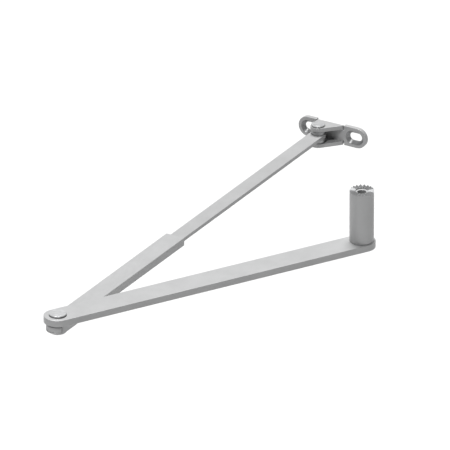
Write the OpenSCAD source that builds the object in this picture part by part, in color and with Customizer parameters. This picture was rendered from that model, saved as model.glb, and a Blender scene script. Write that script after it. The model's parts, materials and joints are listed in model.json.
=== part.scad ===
// Scissor push arm of a swing door drive: toothed spindle, flat main arm, elbow,
// telescopic forearm and a folded clevis bracket with two countersunk slots.
// The forearm lies along +X, the spindle axis is Z, and the origin is on that
// axis at the roots of the spindle's teeth.

/* [Main arm] */
// Distance from the spindle axis to the elbow axis
arm_length = 396; // [340:1:440]
// Width of the main arm, which is also the diameter of its round ends
arm_width = 32; // [30:1:36]
// Thickness of the main arm
arm_thickness = 8; // [7:0.5:9]
// Angle between the main arm and the forearm at rest
arm_angle = 30; // [25:1:60]
// Bevel along the edges of the main arm
arm_bevel = 0.5; // [0.3:0.1:0.8]

/* [Spindle] */
// Outer diameter of the spindle
spindle_diameter = 28; // [26:0.5:28]
// Height of the spindle from the main arm to the roots of its teeth
spindle_height = 61.4; // [58:0.2:75]
// Number of teeth on the crown
tooth_count = 20; // [16:1:24]
// Height of a crown tooth
tooth_height = 2.2; // [1.6:0.1:2.4]
// Diameter of the pilot recess inside the crown
pilot_diameter = 15; // [14:0.5:16]
// Depth of the pilot recess below the tooth roots
pilot_depth = 0.6; // [0.4:0.1:3]
// Diameter of the hole that the drive screw runs through
screw_hole_diameter = 10.2; // [9:0.2:11]
// Diameter of the drive screw's thread
screw_diameter = 8; // [7:0.5:8]
// Length of the drive screw under its head
screw_length = 30; // [28:1:32]

/* [Elbow] */
// Diameter of the elbow pin's head and of the disc below it
elbow_head_diameter = 20.5; // [19:0.5:22]
// Height of the elbow pin's head
elbow_head_height = 2.6; // [2:0.1:3]
// Diameter of the elbow pin
elbow_pin_diameter = 12; // [11:0.5:12]
// Outer diameter of the bush in the hinge block
elbow_bush_diameter = 15; // [14.5:0.5:16]

/* [Forearm sleeve] */
// Distance from the elbow axis to the mouth of the sleeve
sleeve_length = 262; // [255:1:280]
// Outer width of the sleeve
sleeve_width = 24; // [24:0.5:26]
// Outer height of the sleeve
sleeve_height = 10; // [10:0.5:11]
// Wall of the sleeve
sleeve_wall = 1.5; // [1.2:0.1:1.6]
// Radius of the sleeve's end around the elbow axis
sleeve_end_radius = 13.2; // [12.8:0.1:14]

/* [Forearm bar] */
// Distance from the elbow axis to the bracket pin at rest
forearm_reach = 587.5; // [560:0.5:610]
// Width of the bar, which is also the diameter of its eye
bar_width = 18; // [17:0.5:18.5]
// Thickness of the bar
bar_thickness = 4.5; // [4:0.1:4.8]
// Distance from the elbow axis to the hidden end of the bar at rest
bar_start = 165; // [162:1:168]

/* [Bracket] */
// Thickness of the folded sheet
sheet = 5; // [4.5:0.1:5.5]
// Height of the bracket from lug to lug
bracket_height = 24.6; // [24:0.1:25]
// Distance between the centres of the bracket's two round ends
ear_pitch = 65; // [61:0.5:66]
// Distance between the two slots
slot_pitch = 59; // [56:0.5:60]
// Width of a slot
slot_width = 9.6; // [8.5:0.1:10]
// Length of a slot from end to end
slot_length = 16; // [14:0.5:17]
// Width of the countersink around a slot
sink_width = 16.8; // [15:0.2:17.4]
// Distance from the bracket pin to the front of the web
pin_to_web = 14.4; // [13.5:0.1:16]
// How far the pin stands to one side of the bracket's middle
pin_offset = 10.4; // [9:0.1:11]
// Diameter of the bracket pin
bracket_pin_diameter = 8; // [7:0.5:8]

/* [Hidden] */
$fn = 96;
small_fn = 48;
over = 1;                       // how far a cutting tool runs past what it cuts
air = 0.05;                     // gap between parts that turn or slide on each other
paint = [0.78, 0.79, 0.80];
steel = [0.62, 0.63, 0.65];
dark_steel = [0.35, 0.36, 0.38];
bronze = [0.72, 0.55, 0.32];
plastic = [0.20, 0.21, 0.22];

// Heights, from the tooth roots at 0 downwards
arm_gap = 0.2;
bracket_drop = 1.4;
arm_top = -spindle_height;
arm_bottom = arm_top - arm_thickness;
sleeve_top = arm_bottom - arm_gap;
sleeve_bottom = sleeve_top - sleeve_height;
sleeve_floor = sleeve_bottom + sleeve_wall;
bar_middle = (sleeve_top + sleeve_bottom) / 2;
bar_bottom = bar_middle - bar_thickness / 2;
bar_top = bar_middle + bar_thickness / 2;
bracket_top = arm_top - bracket_drop;
bracket_bottom = bracket_top - bracket_height;
bracket_middle = (bracket_top + bracket_bottom) / 2;

// Places in plan
elbow_x = -arm_length * cos(arm_angle);
elbow_y = arm_length * sin(arm_angle);
pin_x = elbow_x + forearm_reach;

// Spindle
arm_radius = arm_width / 2;
spindle_radius = spindle_diameter / 2;
tenon_radius = 11;
access_radius = 7.3;
shoulder_z = -16;
screw_tip_z = -4;
screw_head_z = screw_tip_z - screw_length;
screw_head_radius = 6.5;
screw_head_height = 8;
screw_socket = 6;
screw_bevel = 1;
screw_head_bevel = 0.5;
ring_z = screw_head_z - screw_head_height - air;
ring_thickness = 1;
ring_groove_radius = access_radius + 0.6;
ring_radius = ring_groove_radius - 0.1;
ring_bore = 5.6;
ring_opening = 5;
tooth_pitch = 2 * PI * spindle_radius / tooth_count;
tooth_land = 0.35;

// Elbow
pin_radius = elbow_pin_diameter / 2;
bush_radius = elbow_bush_diameter / 2;
head_radius = elbow_head_diameter / 2;
head_bevel = 1;
washer_radius = 9.8;
disc_top = sleeve_bottom - air;
disc_bottom = disc_top - elbow_head_height;
clip_thickness = 1;
disc_recess = 1.4;
disc_recess_radius = 8.8;
elbow_clip_top = disc_bottom + disc_recess;
clip_groove = 0.5;
elbow_clip_radius = 8.2;
elbow_clip_opening = 6;
pin_bevel = 0.4;

// Hinge block
block_side_gap = 0.5;
block_top_gap = 0.7;
block_width = sleeve_width - 2 * sleeve_wall - 2 * block_side_gap;
block_top = sleeve_top - sleeve_wall - block_top_gap;
block_end = 40;
block_nose = sleeve_end_radius - 0.3;
block_screws = [17, 31];
block_screw_radius = 2;
block_screw_head = 3.7;
block_screw_length = 6;
block_screw_key = 2.5;
block_screw_key_depth = 2;
block_hole_depth = 6.5;

// Sleeve fittings
cavity_width = sleeve_width - 2 * sleeve_wall;
cavity_height = sleeve_height - 2 * sleeve_wall;
sleeve_bevel = 0.6;
guide_length = 12;
guide_end = sleeve_length - 0.3;
guide_bevel = 0.1;
guide_gap = 0.15;
clamp_places = [sleeve_length - 32, sleeve_length - 20];
clamp_radius = 3;
clamp_recess = 0.5;
clamp_key = 3;
clamp_key_depth = 3;
nut_radius = 5;
nut_height = 5;
nut_bevel = 0.6;
pad_thickness = 1.05;
pad_width = 14;
pad_margin = 6;
pad_length = clamp_places[1] - clamp_places[0] + 2 * pad_margin - air;
pad_bottom = bar_bottom - air - pad_thickness;

// Bar fittings
shoe_length = 24;
shoe_lip = 2;
shoe_gap = 0.1;
slider_pin_radius = 1.5;
slider_pin_x = bar_start + 12;
bar_bush_radius = 5.25;
bar_bevel = 0.3;

// Bracket
bracket_radius = bracket_height / 2;
pin_r = bracket_pin_diameter / 2;
bend_inner = 0.5;
bend_outer = sheet + bend_inner;
lug_nose = 9;
lug_left = lug_nose;
lug_right = 24.5;
relief = 1.6;
relief_depth = 6;
sink_depth = 3.4;
sink_length = sink_width + slot_length - slot_width;
spacer_radius = 8;
pin_head_height = 2.3;
pin_head_bevel = 0.8;
pin_tail = 2.1;
bracket_clip_thickness = 0.8;
bracket_clip_radius = 6.4;
bracket_clip_opening = 4;

module at_elbow() {
    translate([elbow_x, elbow_y, 0]) children();
}

module at_pin() {
    translate([pin_x, elbow_y, 0]) children();
}

// A rectangle about the origin with its corners cut off
module bevelled_rectangle(wide, high, bevel) {
    w = wide / 2;
    h = high / 2;
    polygon([[-w + bevel, -h], [w - bevel, -h], [w, -h + bevel], [w, h - bevel],
             [w - bevel, h], [-w + bevel, h], [-w, h - bevel], [-w, -h + bevel]]);
}

// A disc from z = 0 up, with bevels at its lower and upper edge
module bevelled_disc(radius, high, lower, upper) {
    rotate_extrude()
        polygon([[0, 0], [radius - lower, 0], [radius, lower],
                 [radius, high - upper], [radius - upper, high], [0, high]]);
}

// A flat bar along +X from its first end to its last, about z = 0
module flat_stock(first, last, wide, thick, bevel) {
    translate([first, 0, 0])
        rotate([90, 0, 90])
            linear_extrude(last - first)
                bevelled_rectangle(wide, thick, bevel);
}

// A slot along Y through a plate that lies across X
module slot_tool(from_x, to_x, wide, long) {
    reach = (long - wide) / 2;
    for (side = [-1, 1])
        translate([from_x, side * reach, 0])
            rotate([0, 90, 0])
                cylinder(h = to_x - from_x, r = wide / 2);
    translate([from_x, -reach, -wide / 2])
        cube([to_x - from_x, 2 * reach, wide]);
}

// The countersink of a slot, widest at x = 0 and narrowing towards +X
module slot_sink(wide, long, narrow, deep) {
    reach = (long - wide) / 2;
    for (side = [-1, 1])
        translate([0, side * reach, 0])
            rotate([0, 90, 0])
                cylinder(h = deep, r1 = wide / 2, r2 = narrow / 2);
    translate([0, reach, 0])
        rotate([90, 0, 0])
            linear_extrude(2 * reach)
                polygon([[0, -wide / 2], [deep, -narrow / 2], [deep, narrow / 2], [0, wide / 2]]);
}

// An open snap ring, from z = 0 up, with its gap towards -X
module snap_ring(inner, outer, thick, gap) {
    difference() {
        cylinder(h = thick, r = outer, $fn = small_fn);
        translate([0, 0, -over]) cylinder(h = thick + 2 * over, r = inner, $fn = small_fn);
        translate([-outer - over, -gap / 2, -over]) cube([outer + over, gap, thick + 2 * over]);
    }
}

module main_arm() {
    color(paint)
        rotate([0, 0, 180 - arm_angle])
            difference() {
                union() {
                    translate([0, 0, (arm_top + arm_bottom) / 2])
                        flat_stock(0, arm_length, arm_width, arm_thickness, arm_bevel);
                    for (x = [0, arm_length])
                        translate([x, 0, arm_bottom])
                            bevelled_disc(arm_radius, arm_thickness, arm_bevel, arm_bevel);
                }
                translate([0, 0, arm_bottom - over])
                    cylinder(h = arm_thickness + 2 * over, r = tenon_radius);
                translate([arm_length, 0, arm_bottom - over])
                    cylinder(h = arm_thickness + 2 * over, r = pin_radius);
            }
}

// One groove between two crown teeth, along +X
module tooth_groove() {
    half = (tooth_pitch - tooth_land) / 2;
    slope = half / tooth_height;
    inside = pilot_diameter / 2 - over;
    translate([inside, 0, 0])
        rotate([90, 0, 90])
            linear_extrude(spindle_radius + over - inside)
                polygon([[0, 0], [half + over * slope, tooth_height + over],
                         [-half - over * slope, tooth_height + over]]);
}

module spindle() {
    color(paint)
        difference() {
            union() {
                translate([0, 0, arm_top])
                    cylinder(h = spindle_height + tooth_height, r = spindle_radius);
                translate([0, 0, arm_bottom])
                    cylinder(h = arm_thickness, r = tenon_radius);
            }
            translate([0, 0, -pilot_depth])
                cylinder(h = pilot_depth + tooth_height + over, r = pilot_diameter / 2);
            translate([0, 0, shoulder_z - over])
                cylinder(h = -shoulder_z + over, r = screw_hole_diameter / 2);
            translate([0, 0, arm_bottom - over])
                cylinder(h = shoulder_z - arm_bottom + over, r = access_radius);
            translate([0, 0, ring_z - ring_thickness - air])
                cylinder(h = ring_thickness + 2 * air, r = ring_groove_radius);
            for (i = [0 : tooth_count - 1])
                rotate([0, 0, (i + 0.5) * 360 / tooth_count])
                    tooth_groove();
        }
}

module drive_screw() {
    color(dark_steel)
        difference() {
            union() {
                translate([0, 0, screw_head_z])
                    bevelled_disc(screw_diameter / 2, screw_length, 0, screw_bevel);
                translate([0, 0, screw_head_z - screw_head_height])
                    bevelled_disc(screw_head_radius, screw_head_height, screw_head_bevel, 0);
            }
            translate([0, 0, screw_head_z - screw_head_height - over])
                cylinder(h = screw_head_height / 2 + over, d = screw_socket / cos(30), $fn = 6);
        }
}

module drive_screw_ring() {
    color(dark_steel)
        translate([0, 0, ring_z - ring_thickness])
            snap_ring(ring_bore, ring_radius, ring_thickness, ring_opening);
}

module elbow_pin() {
    color(steel)
        at_elbow()
            difference() {
                union() {
                    translate([0, 0, arm_top])
                        bevelled_disc(head_radius, elbow_head_height, 0, head_bevel);
                    translate([0, 0, disc_bottom + air])
                        bevelled_disc(pin_radius, arm_top - disc_bottom - air, pin_bevel, 0);
                }
                translate([0, 0, elbow_clip_top - clip_thickness])
                    difference() {
                        cylinder(h = clip_thickness, r = pin_radius + over);
                        translate([0, 0, -over])
                            cylinder(h = clip_thickness + 2 * over, r = pin_radius - clip_groove);
                    }
            }
}

// The disc that holds the hinge block up, recessed for its circlip
module elbow_disc() {
    color(steel)
        at_elbow()
            difference() {
                translate([0, 0, disc_bottom])
                    bevelled_disc(head_radius, elbow_head_height, head_bevel, 0);
                translate([0, 0, disc_bottom - over])
                    cylinder(h = elbow_head_height + 2 * over, r = pin_radius + air);
                translate([0, 0, disc_bottom - over])
                    cylinder(h = disc_recess + over, r = disc_recess_radius);
            }
}

module elbow_circlip() {
    color(dark_steel)
        at_elbow()
            translate([0, 0, elbow_clip_top - clip_thickness])
                snap_ring(pin_radius - clip_groove, elbow_clip_radius,
                          clip_thickness, elbow_clip_opening);
}

module elbow_bush() {
    color(bronze)
        at_elbow()
            difference() {
                translate([0, 0, sleeve_bottom])
                    cylinder(h = block_top - sleeve_bottom, r = bush_radius);
                translate([0, 0, sleeve_bottom - over])
                    cylinder(h = sleeve_height + 2 * over, r = pin_radius + air);
            }
}

module elbow_thrust_washer() {
    color(plastic)
        at_elbow()
            difference() {
                translate([0, 0, block_top])
                    cylinder(h = arm_bottom - air - block_top, r = washer_radius);
                translate([0, 0, block_top - over])
                    cylinder(h = sleeve_height, r = pin_radius + air);
            }
}

// The cone of a block screw's head in the floor of the sleeve
module screw_countersink() {
    cylinder(h = sleeve_wall, r1 = block_screw_head, r2 = block_screw_head - sleeve_wall);
}

module forearm_sleeve() {
    color(paint)
        at_elbow()
            difference() {
                intersection() {
                    translate([0, 0, bar_middle])
                        flat_stock(-sleeve_end_radius, sleeve_length,
                                   sleeve_width, sleeve_height, sleeve_bevel);
                    union() {
                        translate([0, 0, sleeve_bottom - over])
                            cylinder(h = sleeve_height + 2 * over, r = sleeve_end_radius);
                        translate([0, -sleeve_width, sleeve_bottom - over])
                            cube([sleeve_length + over, 2 * sleeve_width, sleeve_height + 2 * over]);
                    }
                }
                translate([-sleeve_end_radius - over, -cavity_width / 2, sleeve_floor])
                    cube([sleeve_length + sleeve_end_radius + 2 * over, cavity_width, cavity_height]);
                translate([0, 0, sleeve_bottom - over])
                    cylinder(h = sleeve_wall + 2 * over, r = bush_radius);
                translate([0, 0, sleeve_top - sleeve_wall - over])
                    cylinder(h = sleeve_wall + 2 * over, r = washer_radius + air);
                for (x = block_screws)
                    translate([x, 0, sleeve_bottom])
                        screw_countersink();
                for (x = clamp_places)
                    translate([x, 0, sleeve_bottom - over])
                        cylinder(h = sleeve_wall + 2 * over, r = clamp_radius, $fn = small_fn);
            }
}

module hinge_block() {
    color(steel)
        at_elbow()
            difference() {
                intersection() {
                    translate([-block_nose, -block_width / 2, sleeve_floor])
                        cube([block_nose + block_end, block_width, block_top - sleeve_floor]);
                    union() {
                        translate([0, 0, sleeve_bottom])
                            cylinder(h = sleeve_height, r = block_nose);
                        translate([0, -sleeve_width, sleeve_bottom])
                            cube([block_end + over, 2 * sleeve_width, sleeve_height]);
                    }
                }
                translate([0, 0, sleeve_bottom])
                    cylinder(h = sleeve_height, r = bush_radius);
                for (x = block_screws)
                    translate([x, 0, sleeve_bottom])
                        cylinder(h = block_hole_depth, r = block_screw_radius, $fn = small_fn);
            }
}

module hinge_block_screws() {
    color(dark_steel)
        at_elbow()
            for (x = block_screws)
                translate([x, 0, sleeve_bottom])
                    difference() {
                        union() {
                            screw_countersink();
                            cylinder(h = block_screw_length, r = block_screw_radius, $fn = small_fn);
                        }
                        translate([0, 0, -over])
                            cylinder(h = block_screw_key_depth + over,
                                     d = block_screw_key / cos(30), $fn = 6);
                    }
}

module guide_bush() {
    color(plastic)
        at_elbow()
            translate([0, 0, bar_middle])
                difference() {
                    flat_stock(guide_end - guide_length, guide_end,
                               cavity_width, cavity_height, guide_bevel);
                    flat_stock(guide_end - guide_length - over, guide_end + over,
                               bar_width + 2 * guide_gap, bar_thickness + 2 * guide_gap, bar_bevel);
                }
}

module clamp_nuts() {
    color(steel)
        at_elbow()
            for (x = clamp_places)
                translate([x, 0, sleeve_bottom - nut_height])
                    difference() {
                        bevelled_disc(nut_radius, nut_height, nut_bevel, 0);
                        translate([0, 0, -over])
                            cylinder(h = nut_height + 2 * over, r = clamp_radius, $fn = small_fn);
                    }
}

module clamp_screws() {
    socket_end = sleeve_bottom - nut_height + clamp_recess;
    color(dark_steel)
        at_elbow()
            for (x = clamp_places)
                translate([x, 0, socket_end])
                    difference() {
                        cylinder(h = pad_bottom - socket_end, r = clamp_radius, $fn = small_fn);
                        translate([0, 0, -over])
                            cylinder(h = clamp_key_depth + over, d = clamp_key / cos(30), $fn = 6);
                    }
}

module clamp_pad() {
    color(bronze)
        at_elbow()
            translate([clamp_places[0] - pad_margin, -pad_width / 2, pad_bottom])
                cube([pad_length, pad_width, pad_thickness]);
}

module forearm_bar() {
    color(paint)
        difference() {
            union() {
                at_elbow()
                    translate([0, 0, bar_middle])
                        flat_stock(bar_start, forearm_reach, bar_width, bar_thickness, bar_bevel);
                at_pin()
                    translate([0, 0, bar_bottom])
                        bevelled_disc(bar_width / 2, bar_thickness, bar_bevel, bar_bevel);
            }
            at_pin()
                translate([0, 0, bar_bottom - over])
                    cylinder(h = bar_thickness + 2 * over, r = bar_bush_radius);
            at_elbow()
                translate([slider_pin_x, 0, bar_bottom - over])
                    cylinder(h = bar_thickness + 2 * over, r = slider_pin_radius, $fn = small_fn);
        }
}

// The plastic shoe that carries the hidden end of the bar along the sleeve
module slider_shoe() {
    color(plastic)
        at_elbow()
            difference() {
                translate([0, 0, bar_middle])
                    flat_stock(bar_start - shoe_lip, bar_start - shoe_lip + shoe_length,
                               cavity_width - 2 * shoe_gap, cavity_height - 2 * shoe_gap, bar_bevel);
                translate([0, 0, bar_middle])
                    flat_stock(bar_start, bar_start + shoe_length, bar_width, bar_thickness, bar_bevel);
                translate([slider_pin_x, 0, sleeve_bottom])
                    cylinder(h = sleeve_height, r = slider_pin_radius, $fn = small_fn);
            }
}

module slider_pin() {
    color(dark_steel)
        at_elbow()
            translate([slider_pin_x, 0, sleeve_floor + shoe_gap + air])
                cylinder(h = cavity_height - 2 * shoe_gap - 2 * air,
                         r = slider_pin_radius, $fn = small_fn);
}

module bar_bush() {
    color(bronze)
        at_pin()
            translate([0, 0, bar_bottom])
                difference() {
                    cylinder(h = bar_thickness, r = bar_bush_radius);
                    translate([0, 0, -over])
                        cylinder(h = bar_thickness + 2 * over, r = pin_r + air);
                }
}

// The channel of web and lugs in section, x towards the wall and y up from its middle
module channel_section() {
    wall_x = pin_to_web + sheet;
    inner = bracket_radius - sheet;
    difference() {
        union() {
            translate([-lug_nose, -bracket_radius])
                square([wall_x + lug_nose - bend_outer, bracket_height]);
            translate([-lug_nose, -bracket_radius + bend_outer])
                square([wall_x + lug_nose, bracket_height - 2 * bend_outer]);
            for (side = [-1, 1])
                translate([wall_x - bend_outer, side * (bracket_radius - bend_outer)])
                    circle(r = bend_outer);
        }
        translate([-lug_nose - over, -inner])
            square([pin_to_web + lug_nose + over - bend_inner, 2 * inner]);
        translate([-lug_nose - over, -inner + bend_inner])
            square([pin_to_web + lug_nose + over, 2 * inner - 2 * bend_inner]);
        for (side = [-1, 1])
            translate([pin_to_web - bend_inner, side * (inner - bend_inner)])
                circle(r = bend_inner);
    }
}

// The lugs' outline in plan: a round nose that runs straight to the web on one side
// and widens towards it on the other
module lug_outline() {
    wall_x = pin_to_web + sheet;
    touch = -atan2(lug_right, pin_to_web) - acos(lug_nose / norm([lug_right, pin_to_web]));
    circle(r = lug_nose);
    polygon([[0, lug_left], [wall_x, lug_left], [wall_x, -lug_right], [pin_to_web, -lug_right],
             [lug_nose * cos(touch), lug_nose * sin(touch)], [0, 0]]);
}

// The flat plate with its two ears, open in the middle where the lugs fold over
module ear_plate() {
    difference() {
        translate([pin_to_web, -pin_offset, bracket_middle])
            slot_tool(0, sheet, bracket_height, ear_pitch + bracket_height);
        for (side = [-1, 1])
            translate([pin_to_web - over, -lug_right - relief,
                       bracket_middle + side * bracket_radius - relief_depth])
                cube([sheet + 2 * over, lug_right + lug_left + 2 * relief, 2 * relief_depth]);
    }
}

module bracket() {
    color(paint)
        at_pin()
            difference() {
                union() {
                    ear_plate();
                    intersection() {
                        translate([0, lug_left, bracket_middle])
                            rotate([90, 0, 0])
                                linear_extrude(lug_left + lug_right)
                                    channel_section();
                        translate([0, 0, bracket_bottom])
                            linear_extrude(bracket_height)
                                lug_outline();
                    }
                }
                translate([0, 0, bracket_bottom - over])
                    cylinder(h = bracket_height + 2 * over, r = pin_r);
                for (side = [-1, 1])
                    translate([pin_to_web, -pin_offset + side * slot_pitch / 2, bracket_middle]) {
                        slot_tool(0, sheet + over, slot_width, slot_length);
                        slot_sink(sink_width, sink_length, slot_width, sink_depth);
                    }
            }
}

module bracket_pin() {
    clip_top = bracket_bottom - air;
    color(steel)
        at_pin()
            difference() {
                union() {
                    translate([0, 0, bracket_top])
                        bevelled_disc(spacer_radius, pin_head_height, 0, pin_head_bevel);
                    translate([0, 0, bracket_bottom - pin_tail])
                        bevelled_disc(pin_r, bracket_height + pin_tail, pin_bevel, 0);
                }
                translate([0, 0, clip_top - bracket_clip_thickness])
                    difference() {
                        cylinder(h = bracket_clip_thickness, r = pin_r + over);
                        translate([0, 0, -over])
                            cylinder(h = bracket_clip_thickness + 2 * over, r = pin_r - clip_groove);
                    }
            }
}

// A ring around the bracket pin that fills the space between a lug and the bar
module pin_spacer(low, high) {
    at_pin()
        translate([0, 0, low])
            difference() {
                cylinder(h = high - low, r = spacer_radius);
                translate([0, 0, -over])
                    cylinder(h = high - low + 2 * over, r = pin_r + air);
            }
}

module upper_spacer() {
    color(steel) pin_spacer(bar_top + air, bracket_top - sheet);
}

module lower_spacer() {
    color(steel) pin_spacer(bracket_bottom + sheet, bar_bottom - air);
}

module bracket_circlip() {
    color(dark_steel)
        at_pin()
            translate([0, 0, bracket_bottom - air - bracket_clip_thickness])
                snap_ring(pin_r - clip_groove, bracket_clip_radius,
                          bracket_clip_thickness, bracket_clip_opening);
}

main_arm();
spindle();
drive_screw();
drive_screw_ring();
elbow_pin();
elbow_disc();
elbow_circlip();
elbow_bush();
elbow_thrust_washer();
forearm_sleeve();
hinge_block();
hinge_block_screws();
guide_bush();
clamp_nuts();
clamp_screws();
clamp_pad();
forearm_bar();
slider_shoe();
slider_pin();
bar_bush();
bracket();
bracket_pin();
upper_spacer();
lower_spacer();
bracket_circlip();
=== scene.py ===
"""Looks for the push arm: rounded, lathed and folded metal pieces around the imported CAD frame.

Every length below is in metres. MM turns a size in millimetres into metres.
"""
import json
import math

import bmesh
import bpy
from mathutils import Matrix, Vector


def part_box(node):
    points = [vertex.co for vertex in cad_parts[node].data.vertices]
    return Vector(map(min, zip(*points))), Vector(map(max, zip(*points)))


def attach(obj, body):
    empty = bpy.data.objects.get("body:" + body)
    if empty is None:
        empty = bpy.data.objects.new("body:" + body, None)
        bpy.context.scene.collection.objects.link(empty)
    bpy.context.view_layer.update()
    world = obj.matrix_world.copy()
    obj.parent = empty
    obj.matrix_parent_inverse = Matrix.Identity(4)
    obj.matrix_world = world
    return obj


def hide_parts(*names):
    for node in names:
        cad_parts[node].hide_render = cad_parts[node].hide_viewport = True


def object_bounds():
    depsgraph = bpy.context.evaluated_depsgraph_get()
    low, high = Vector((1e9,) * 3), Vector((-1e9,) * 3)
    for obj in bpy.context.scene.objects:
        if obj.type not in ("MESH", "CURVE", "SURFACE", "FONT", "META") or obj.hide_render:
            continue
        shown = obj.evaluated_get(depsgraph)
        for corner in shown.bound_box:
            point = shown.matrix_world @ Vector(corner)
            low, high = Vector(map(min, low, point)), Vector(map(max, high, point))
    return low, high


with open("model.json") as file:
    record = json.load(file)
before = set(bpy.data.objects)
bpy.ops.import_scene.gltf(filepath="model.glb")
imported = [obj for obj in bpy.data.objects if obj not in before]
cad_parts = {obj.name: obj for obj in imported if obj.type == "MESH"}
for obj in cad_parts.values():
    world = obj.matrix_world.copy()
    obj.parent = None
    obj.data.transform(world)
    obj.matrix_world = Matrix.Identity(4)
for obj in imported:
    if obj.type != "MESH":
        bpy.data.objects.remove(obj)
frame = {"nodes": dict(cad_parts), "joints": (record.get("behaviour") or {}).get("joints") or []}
cad_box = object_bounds()

MM = 0.001
ROUND = 96                      # corners around a large round piece
SMALL_ROUND = 48                # corners around a small one
SMOOTH_BELOW = math.radians(32)  # edges flatter than this are shaded smooth
THREAD_DEPTH = 0.6              # depth of a thread, in pitches


# ---------------------------------------------------------------- places from the frame

def joint_place(name):
    """Where a hinge of the frame stands."""
    return Vector(next(j for j in frame["joints"] if j["name"] == name)["pos_m"])


def span(node, axis):
    """(lowest, highest) of a CAD node along axis 0, 1 or 2."""
    low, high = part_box(node)
    return low[axis], high[axis]


def radius_of(node):
    """Half a round node's width along X."""
    low, high = span(node, 0)
    return (high - low) / 2


ELBOW = joint_place("elbow_pivot")
PIN = joint_place("bracket_pivot")
ARM_LENGTH = ELBOW.xy.length
ARM_TURN = math.atan2(ELBOW.y, ELBOW.x)
ARM_LOW, ARM_HIGH = span("main_arm", 2)
SLEEVE_LOW, SLEEVE_HIGH = span("forearm_sleeve", 2)


# ---------------------------------------------------------------- outlines and profiles

def arc(x, y, radius, start, end, steps):
    """Points on an arc about (x, y), from start to end in degrees."""
    angles = [math.radians(start + (end - start) * i / steps) for i in range(steps + 1)]
    return [(x + radius * math.cos(a), y + radius * math.sin(a)) for a in angles]


def polar(radius, turn):
    """The point at that distance from the origin, at an angle in degrees."""
    return arc(0, 0, radius, turn, turn, 1)[0]


def circle(x, y, radius, count=ROUND):
    """A closed round outline of count points about (x, y)."""
    return arc(x, y, radius, 0, 360, count)[:-1]


def stadium(first, last, radius, count=ROUND // 2):
    """A straight outline with round ends, from x = first to x = last between its arc centres."""
    return arc(last, 0, radius, -90, 90, count) + arc(first, 0, radius, 90, 270, count)


def rounded_box(wide, high, radius, steps=6, parts=1):
    """A rectangle with round corners about the origin, its level sides in several parts."""
    x, y = wide / 2 - radius, high / 2 - radius
    points = []
    for cx, cy, turn in [(x, y, 0), (-x, y, 90), (-x, -y, 180), (x, -y, 270)]:
        points += arc(cx, cy, radius, turn, turn + 90, steps)
        if turn in (0, 180):
            level = points[-1][1]
            points += [(cx - 2 * cx * k / parts, level) for k in range(1, parts)]
    return points


def shift_outline(points, inwards):
    """A closed anticlockwise outline with every side moved inwards by that much."""
    moved = []
    for i, (x, y) in enumerate(points):
        before = Vector((x - points[i - 1][0], y - points[i - 1][1])).normalized()
        after_point = points[(i + 1) % len(points)]
        after = Vector((after_point[0] - x, after_point[1] - y)).normalized()
        side_a, side_b = Vector((-before.y, before.x)), Vector((-after.y, after.x))
        middle = side_a + side_b
        reach = inwards * 2 / max(middle.length_squared, 0.5)
        moved.append((x + middle.x * reach, y + middle.y * reach))
    return moved


def soft_edge(low, high, radius, steps=4):
    """[(inset, height)] down the side of a slab whose two edges are rounded."""
    turns = [math.pi / 2 * i / steps for i in range(steps + 1)]
    upper = [(radius * (1 - math.sin(t)), high - radius * (1 - math.cos(t))) for t in turns]
    lower = [(inset, low + high - height) for inset, height in reversed(upper)]
    return upper + lower


def soften(points, closed=True, steps=4):
    """A profile of (across, up, radius) corners, with each corner rounded by its radius."""
    result = []
    count = len(points)
    for i, (x, y, radius) in enumerate(points):
        here = Vector((x, y))
        if radius == 0 or (not closed and i in (0, count - 1)):
            result.append((x, y))
            continue
        to_before = (Vector(points[i - 1][:2]) - here).normalized()
        to_after = (Vector(points[(i + 1) % count][:2]) - here).normalized()
        half = to_before.angle(to_after) / 2
        cut = radius / math.tan(half)
        centre = here + (to_before + to_after).normalized() * radius / math.sin(half)
        start, end = here + to_before * cut - centre, here + to_after * cut - centre
        for k in range(steps + 1):
            ray = start.lerp(end, k / steps).normalized() * radius
            result.append((centre.x + ray.x, centre.y + ray.y))
    return result


# ---------------------------------------------------------------- meshes

def skin(bm, rings, closed):
    """Quads between rings of equal count. closed also joins the last ring to the first."""
    made = [[bm.verts.new(p) for p in ring] for ring in rings]
    pairs = list(zip(made, made[1:]))
    if closed:
        pairs.append((made[-1], made[0]))
    for a, b in pairs:
        for i in range(len(a)):
            j = (i + 1) % len(a)
            bm.faces.new((a[i], a[j], b[j], b[i]))
    return made


def cap(bm, rings):
    """Fills the flat face that these rings of vertices bound, holes left open."""
    edges = []
    for ring in rings:
        for i, v in enumerate(ring):
            other = ring[(i + 1) % len(ring)]
            edges.append(bm.edges.get((v, other)) or bm.edges.new((v, other)))
    bmesh.ops.triangle_fill(bm, use_beauty=True, use_dissolve=False, edges=edges)


def slab(bm, outer, side, holes=()):
    """A plate in the XY plane, with holes of (outline, side).

    Each side is a list of (inset, height) from top to bottom.
    """
    tops, bottoms = [], []
    for points, profile, sign in [(outer, side, 1)] + [(p, s, -1) for p, s in holes]:
        rings = [[(x, y, height) for x, y in shift_outline(points, sign * inset)]
                 for inset, height in profile]
        made = skin(bm, rings, closed=False)
        tops.append(made[0])
        bottoms.append(made[-1])
    cap(bm, tops)
    cap(bm, bottoms)


def lathe(bm, profile, count=ROUND, closed=True):
    """Turns a profile about Z.

    A profile point is (radius, height), or a function of the angle that gives both.
    """
    rings = []
    for point in profile:
        ring = []
        for i in range(count):
            angle = 2 * math.pi * i / count
            radius, height = point(angle) if callable(point) else point
            ring.append((radius * math.cos(angle), radius * math.sin(angle), height))
        rings.append(ring)
    skin(bm, rings, closed)
    bmesh.ops.remove_doubles(bm, verts=bm.verts, dist=MM / 1000)


def hexagon(across_flats, height):
    """A profile point for lathe: a six-sided ring."""
    def point(angle):
        turn = (math.degrees(angle) + 30) % 60 - 30
        return across_flats / 2 / math.cos(math.radians(turn)), height
    return point


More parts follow.
